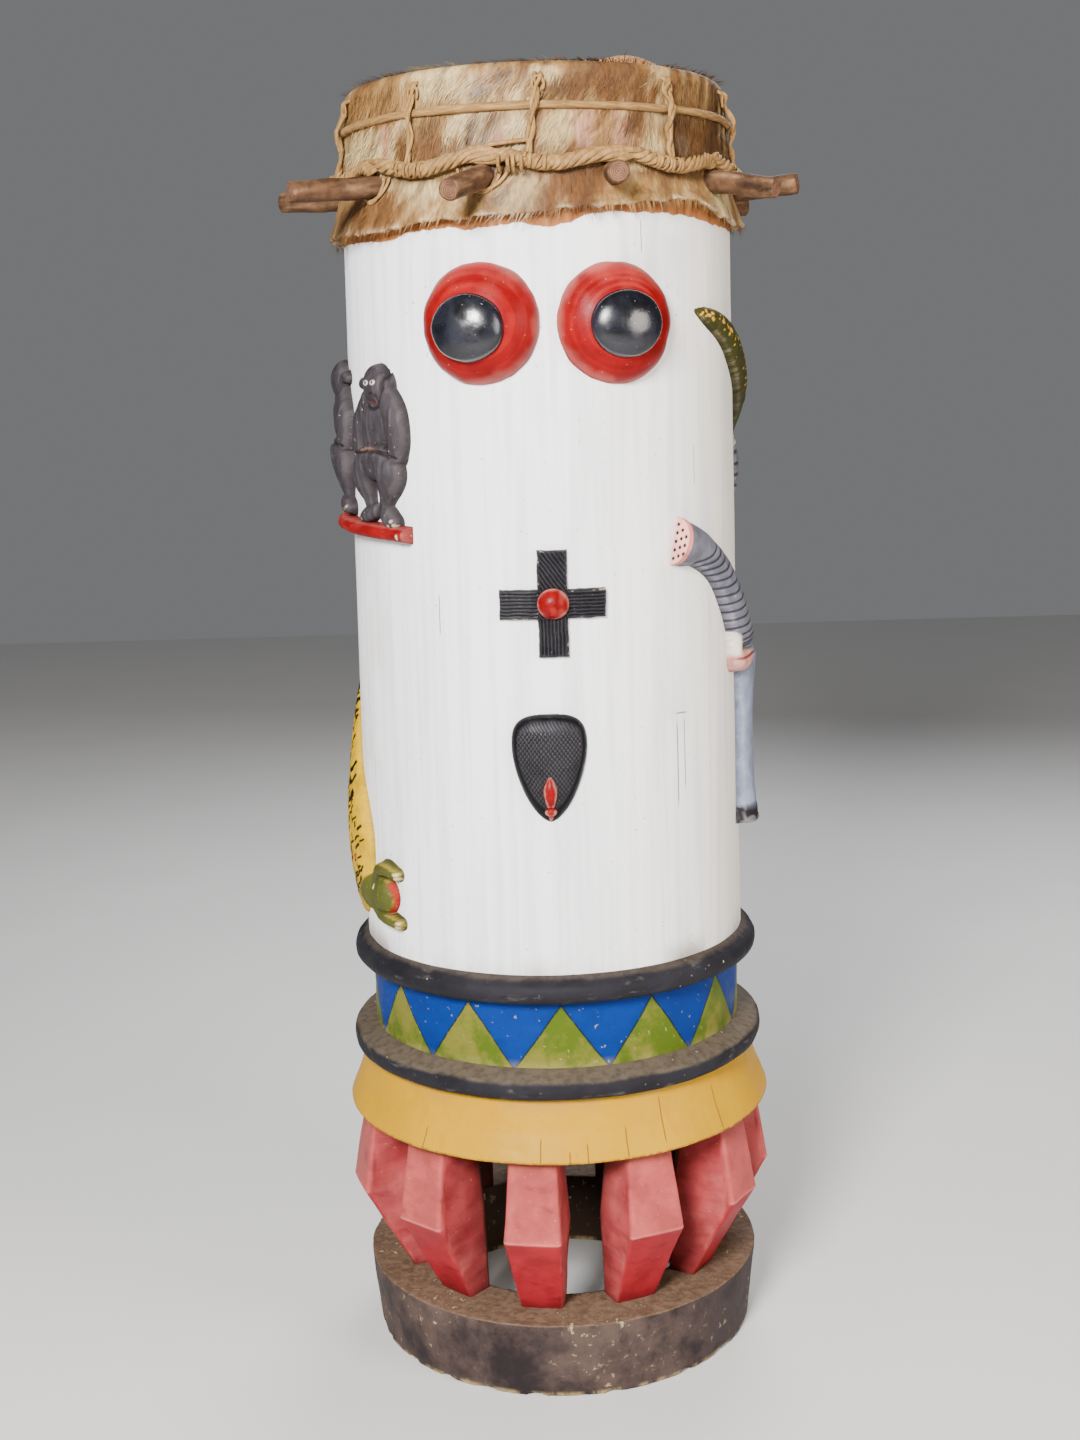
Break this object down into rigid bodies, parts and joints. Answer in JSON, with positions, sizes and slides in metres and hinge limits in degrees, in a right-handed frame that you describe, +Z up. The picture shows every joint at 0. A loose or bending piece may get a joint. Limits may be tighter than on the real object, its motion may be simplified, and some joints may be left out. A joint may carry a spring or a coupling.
{
  "type": "ceremonial ritual drum",
  "caption": "Tall carved and painted log drum with relief figures, a laced hide head with pegs, and splayed legs on a foot ring.",
  "frame": {"origin": "middle of the foot ring's underside, on the drum's axis", "axes": "+Z up the drum's axis, -Y towards the front with the eyes, +X to a viewer's right"},
  "size_m": [0.6151, 0.5916, 1.5148],
  "materials": {
    "painted_log": "brushed paint, satin, worn",
    "hair_on_hide": "short hair left on",
    "split_cane": "bare, dry",
    "peg_wood": "bark and bare wood"
  },
  "bodies": {
    "root": {"drum_body": "painted_log", "drumhead_hide": "hair_on_hide", "cane_hoop": "split_cane", "lacing_rope": "split_cane", "peg_01": "peg_wood", "peg_02": "peg_wood", "peg_03": "peg_wood", "peg_04": "peg_wood", "peg_05": "peg_wood", "peg_06": "peg_wood", "peg_07": "peg_wood", "peg_08": "peg_wood", "peg_09": "peg_wood", "peg_10": "peg_wood", "tie_01": "split_cane", "tie_02": "split_cane", "tie_03": "split_cane", "tie_04": "split_cane", "tie_05": "split_cane", "tie_06": "split_cane", "tie_07": "split_cane", "tie_08": "split_cane", "tie_09": "split_cane", "tie_10": "split_cane"}
  },
  "joints": []
}
